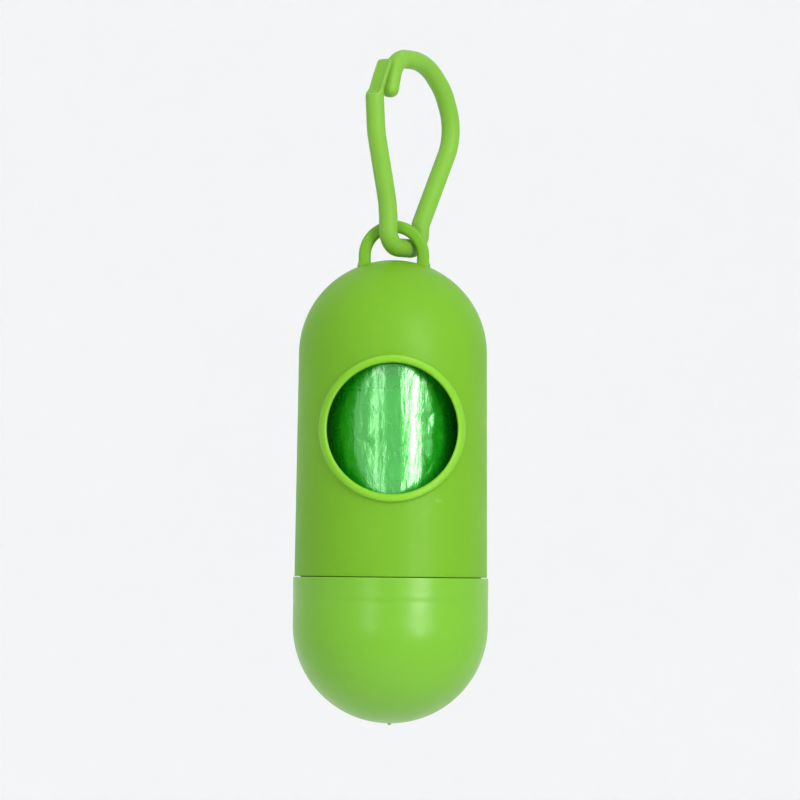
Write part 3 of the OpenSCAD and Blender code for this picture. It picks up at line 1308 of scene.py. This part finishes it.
@dataclass
class Roll:
    """Roll of bags: one sleeve of film for each bag, with a creased outermost bag."""

    outer_r: float
    core_r: float
    low: float
    high: float
    count: int
    skin_columns: int = 480
    sleeve_columns: int = 120
    rows: int = 260
    step_at: float = 205.0
    step_depth: float = 0.14
    facets: int = 60
    seed: int = 7
    swells: int = 26
    creases: int = 17
    crease_depth: float = 0.08
    crease_w: float = 0.13
    slack_depth: float = 0.022
    end_round: float = 0.16
    deepest: float = 0.42
    pinches: tuple[Facet, ...] = (
        Facet(turn=-3.7, height=50.5, size=4.6, spin=0.5, depth=0.17),
        Facet(turn=7.6, height=51.0, size=3.4, spin=1.9, depth=0.15),
        Facet(turn=9.2, height=47.0, size=4.4, spin=2.6, depth=0.15),
        Facet(turn=2.4, height=33.5, size=5.2, spin=0.2, depth=0.12),
        Facet(turn=-7.0, height=36.0, size=4.2, spin=1.2, depth=0.12),
    )

    @classmethod
    def from_frame(cls) -> "Roll":
        """Reads the roll's sizes from the boxes of its bags."""
        names = sorted(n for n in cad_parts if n.startswith("bag_"))
        low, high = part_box(names[-1])
        core_low, core_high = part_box("core")
        return cls(
            outer_r=(high.x - low.x) / 2 / MM,
            core_r=(core_high.x - core_low.x) / 2 / MM,
            low=low.z / MM, high=high.z / MM, count=len(names),
        )

    def names(self) -> list[str]:
        """Names of the bags, from the core outwards."""
        return [f"bag_{i + 1:02d}" for i in range(self.count)]

    def radii(self, name: str) -> tuple[float, float]:
        """Inner and outer radius of a bag, from its own box and the one inside it.

        Args:
            name: The bag's CAD node.

        Returns:
            The two radii.
        """
        order = self.names().index(name)
        low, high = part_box(name)
        outer = (high.x - low.x) / 2 / MM
        if order == 0:
            return self.core_r + 0.1, outer
        low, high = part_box(self.names()[order - 1])
        return (high.x - low.x) / 2 / MM, outer

    def relief(self, angle: np.ndarray, up: np.ndarray) -> np.ndarray:
        """Depth of the outermost film below the roll's radius, in millimetres.

        Args:
            angle: Angles round the roll, in radians.
            up: Heights from the roll's lower end.

        Returns:
            The depths, one row for each height.
        """
        dice = np.random.default_rng(self.seed)
        turn, height = np.meshgrid(angle, up)
        around = turn * self.outer_r
        depth = 0.06 + 0.0 * turn
        for _ in range(self.swells):
            waves, tall = int(dice.integers(3, 46)), dice.uniform(0.02, 0.16)
            phase, lean = dice.uniform(0, 2 * math.pi, 2)
            size = 0.16 / (waves + 6)
            depth += size * np.sin(waves * turn + phase + 1.4 * np.sin(height * tall + lean))
        whole = 2 * math.pi * self.outer_r
        for _ in range(self.facets):
            spot = dice.uniform(-whole / 2, whole / 2)
            facet = Facet(
                turn=spot, height=dice.uniform(2, self.high - self.low - 2),
                size=dice.uniform(2.2, 5.6), spin=dice.uniform(0, 2 * math.pi),
                depth=dice.uniform(0.08, 0.2),
            )
            beside = (around - facet.turn + whole / 2) % whole - whole / 2 + facet.turn
            depth += facet.dent(beside, height)
        for facet in self.pinches:
            depth += facet.dent(around, height)
        for _ in range(self.creases):
            level = dice.uniform(3, self.high - self.low - 3)
            middle, half = dice.uniform(-math.pi, math.pi), dice.uniform(0.35, 1.3)
            off = np.abs((turn - middle + math.pi) % (2 * math.pi) - math.pi)
            reach = eased((half - off) / 0.25)
            away = (height - level - 0.05 * np.sin(5 * turn + level)) / self.crease_w
            depth += self.crease_depth * reach * np.exp(-away * away)
            above = eased((height - level) / 0.4) * eased((level + 3.5 - height) / 3.0)
            depth += self.slack_depth * reach * above
        behind = (turn - math.radians(self.step_at)) % (2 * math.pi)
        depth += self.step_depth * (1 - behind / (2 * math.pi))
        ends = np.minimum(height, self.high - self.low - height)
        depth += self.end_round * (1 - eased(ends / 0.8)) ** 2
        return np.clip(depth, 0.0, self.deepest)

    def layered_end(
        self, draft: Draft, angle: np.ndarray, place: Place, radii: tuple[float, float],
        level: float, sign: float, dice: np.random.Generator,
    ) -> list[np.ndarray]:
        """Rings of a sleeve's end face, with the uneven edges of its film layers.

        Args:
            draft: The sleeve's mesh.
            angle: Angles of the columns.
            place: Where the capsule hangs.
            radii: Inner and outer radius of the face.
            level: Height of the face.
            sign: 1 for the upper face and -1 for the lower one.
            dice: Seeded random numbers.

        Returns:
            The rings, from the inner radius to the outer one.
        """
        rings = []
        shares = (0.04, 0.2, 0.36, 0.52, 0.68, 0.84, 0.96)
        for k, share in enumerate(shares):
            sunk = 0.02 + (0.13 if k % 2 else 0.0) + dice.uniform(0, 0.05)
            phase = dice.uniform(0, 2 * math.pi, 3)
            wave = 0.05 * np.sin(2 * angle + phase[0]) + 0.03 * np.sin(7 * angle + phase[1])
            wave = wave + 0.02 * np.sin(19 * angle + phase[2])
            radius = radii[0] + (radii[1] - radii[0]) * share
            height = level - sign * np.clip(sunk + 0.08 + wave, 0.0, 0.4)
            rings.append(draft.ring(place.turned(radius, angle, height - place.top)))
        return rings

    def build_bag(self, name: str, place: Place) -> Piece:
        """Builds one bag's sleeve as a closed mesh.

        Args:
            name: The bag's CAD node.
            place: Where the capsule hangs.

        Returns:
            The piece.
        """
        draft = Draft()
        inner, outer = self.radii(name)
        last = name == self.names()[-1]
        dice = np.random.default_rng(100 + self.names().index(name))
        columns = self.skin_columns if last else self.sleeve_columns
        angle = np.arange(columns) / columns * 2 * math.pi
        low, high = self.low - place.top, self.high - place.top
        if last:
            up = np.linspace(0, high - low, self.rows)
            depth = self.relief(angle, up)
            skin = [
                draft.ring(place.turned(outer - row, angle, low + h))
                for row, h in zip(depth[1:-1], up[1:-1])
            ]
        else:
            ends = (0.3, high - low - 0.3)
            skin = [draft.ring(place.turned(outer, angle, low + h)) for h in ends]
        bore = [draft.ring(place.turned(inner, angle, low + h)) for h in (high - low - 0.3, 0.3)]
        edge = outer - 0.24 if last else outer
        upper = self.layered_end(draft, angle, place, (inner, edge), self.high, 1.0, dice)
        lower = self.layered_end(draft, angle, place, (inner, edge), self.low, -1.0, dice)
        draft.tube(skin + upper[::-1] + bore + lower, loop=True)
        return draft.build(name + "_film", sharp=50.0 if last else 180.0)

    def assemble(self, place: Place, film: Look, board: Look) -> list[Piece]:
        """Builds every bag, rides them on the roll and dresses the core.

        Args:
            place: Where the capsule hangs.
            film: The bags' material.
            board: The core's material.

        Returns:
            The bags and the core.
        """
        pieces = []
        for name in self.names():
            bag = dress(self.build_bag(name, place), film, Slot.FILM, name)
            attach(bag, Body.BAGS.value)
            pieces.append(bag)
        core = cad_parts["core"]
        core.data.materials.clear()
        core.data.materials.append(board)
        return [*pieces, core]


# --------------------------------------------------------------------------- the studio


@dataclass(frozen=True)
class SoftBox:
    """A rectangular light that faces the capsule."""

    name: str
    azimuth: float
    height: float
    distance: float
    width: float
    tall: float
    power: float
    colour: Colour = (1.0, 1.0, 1.0)

    def make(self, target: Vector) -> Piece:
        """Hangs the light and points it at a target, in metres.

        Args:
            target: Place that the light faces.

        Returns:
            The light.
        """
        data = bpy.data.lights.new(self.name, "AREA")
        data.shape = "RECTANGLE"
        data.size, data.size_y = self.width, self.tall
        data.energy = self.power
        data.color = self.colour
        light = bpy.data.objects.new(self.name, data)
        bpy.context.scene.collection.objects.link(light)
        a = math.radians(self.azimuth)
        light.location = (
            target.x + self.distance * math.sin(a),
            target.y - self.distance * math.cos(a),
            self.height,
        )
        light.rotation_mode = "QUATERNION"
        light.rotation_quaternion = (target - light.location).to_track_quat("-Z", "Y")
        return light


@dataclass
class Studio:
    """Pale floor with a cove, soft lights and the camera."""

    floor_z: float = -0.9
    floor_r: float = 2.2
    cove_r: float = 0.8
    wall_top: float = 1.8
    world: float = 0.97
    camera_away: float = 1200.0
    camera_z: float = -104.6
    aim_x: float = -1.23
    aim_z: float = -68.3
    roll: float = 0.57
    lens: float = 263.25
    sensor: float = 36.0

    def build_floor(self, finish: Look) -> Piece:
        """Builds the floor, which curves up into a wall all round.

        Args:
            finish: The floor's material.

        Returns:
            The floor.
        """
        draft = Draft()
        angle = np.arange(96) / 96 * 2 * math.pi
        bend = arc((self.floor_r, self.floor_z + self.cove_r), self.cove_r, -90, 0, 24)
        line = [(self.floor_r * s, self.floor_z) for s in (0.1, 0.4, 0.7)] + bend
        line.append((self.floor_r + self.cove_r, self.wall_top))
        rings = [
            draft.ring(
                np.column_stack((r * np.sin(angle), -r * np.cos(angle), z + 0 * angle)) / MM
            )
            for r, z in line
        ]
        draft.tube(rings)
        draft.close(rings[0], (0, 0, self.floor_z / MM))
        floor = draft.build("studio_floor", sharp=180.0)
        floor.data.materials.append(finish)
        return floor

    def light(self, target: Vector) -> None:
        """Hangs the two soft boxes and sets the even light of the room."""
        SoftBox(
            "key_box", azimuth=34, height=0.20, distance=0.9, width=0.28, tall=0.95, power=7.8,
            colour=(1.0, 0.99, 0.96),
        ).make(target)
        SoftBox(
            "fill_box", azimuth=-24, height=0.20, distance=0.95, width=0.18, tall=0.9, power=1.9,
            colour=(0.98, 0.99, 1.0),
        ).make(target)
        world = bpy.data.worlds.new("studio_room")
        world.use_nodes = True
        glow = world.node_tree.nodes["Background"]
        glow.inputs["Color"].default_value = (0.98, 0.99, 1.0, 1.0)
        glow.inputs["Strength"].default_value = self.world
        bpy.context.scene.world = world

    def place_camera(self, place: Place) -> Piece:
        """Makes the camera, level with the seam and tilted up to the whole dispenser.

        Args:
            place: Where the capsule hangs.

        Returns:
            The camera.
        """
        data = bpy.data.cameras.new("camera")
        data.sensor_width, data.lens = self.sensor, self.lens
        data.clip_start, data.clip_end = 0.01, 20.0
        camera = bpy.data.objects.new("camera", data)
        bpy.context.scene.collection.objects.link(camera)
        spot = Vector((place.x, place.y - self.camera_away, self.camera_z)) * MM
        aim = Vector((self.aim_x, place.y, self.aim_z)) * MM
        facing = (aim - spot).to_track_quat("-Z", "Y").to_matrix()
        spin = Matrix.Rotation(math.radians(self.roll), 3, "Z")
        camera.location = spot
        camera.rotation_mode = "QUATERNION"
        camera.rotation_quaternion = (facing @ spin).to_quaternion()
        bpy.context.scene.camera = camera
        return camera

    def assemble(self, place: Place) -> None:
        """Builds the studio round the dispenser."""
        target = Vector((place.x, place.y, place.top - 30.0)) * MM
        self.build_floor(StudioPaper("studio_paper").make())
        self.light(target)
        self.place_camera(place)
        bpy.context.scene.view_settings.view_transform = "Standard"


@dataclass
class Dispenser:
    """The whole dispenser, with its finishes and its studio."""

    clip: Clip
    shell: Shell
    cap: Cap
    roll: Roll
    studio: Studio

    def finishes(self, place: Place) -> dict[Slot, Look]:
        """Makes the material of each slot.

        Args:
            place: Where the capsule hangs.

        Returns:
            The materials.
        """
        return {
            Slot.CLIP: MouldedPlastic("clip_plastic", (0.158, 0.365, 0.03), rough=0.45).make(),
            Slot.SHELL: MouldedPlastic(
                "shell_plastic", (0.127, 0.335, 0.0075), rough=0.46,
                # The rim round the dispensing hole gets a painted highlight.
                painted_rim_highlight=self.shell.rim_place(place),
            ).make(),
            Slot.CAP: MouldedPlastic(
                "cap_plastic", (0.136, 0.375, 0.009), rough=0.33, flow_depth=0.00009, gloss=0.5
            ).make(),
            Slot.FILM: WoundFilm("bag_film", (0.0015, 0.38, 0.01)).make(),
            Slot.CORE: Paperboard("core_board", (0.42, 0.32, 0.2)).make(),
        }

    def assemble(self) -> None:
        """Builds each sub-assembly in order and reports its pieces."""
        place = Place.from_frame(self.shell.shell_h, self.shell.seam_gap)
        looks = self.finishes(place)
        self.studio.assemble(place)
        pieces = self.clip.assemble(looks[Slot.CLIP])
        pieces += self.shell.assemble(place, looks[Slot.SHELL])
        pieces += self.cap.assemble(place, looks[Slot.CAP])
        pieces += self.roll.assemble(place, looks[Slot.FILM], looks[Slot.CORE])
        for piece in pieces:
            report(piece)


def main() -> None:
    """Builds the dispenser."""
    logging.basicConfig(level=logging.INFO, format="%(name)s: %(message)s")
    Dispenser(Clip(), Shell(), Cap(), Roll.from_frame(), Studio()).assemble()


if __name__ == "__main__":
    main()
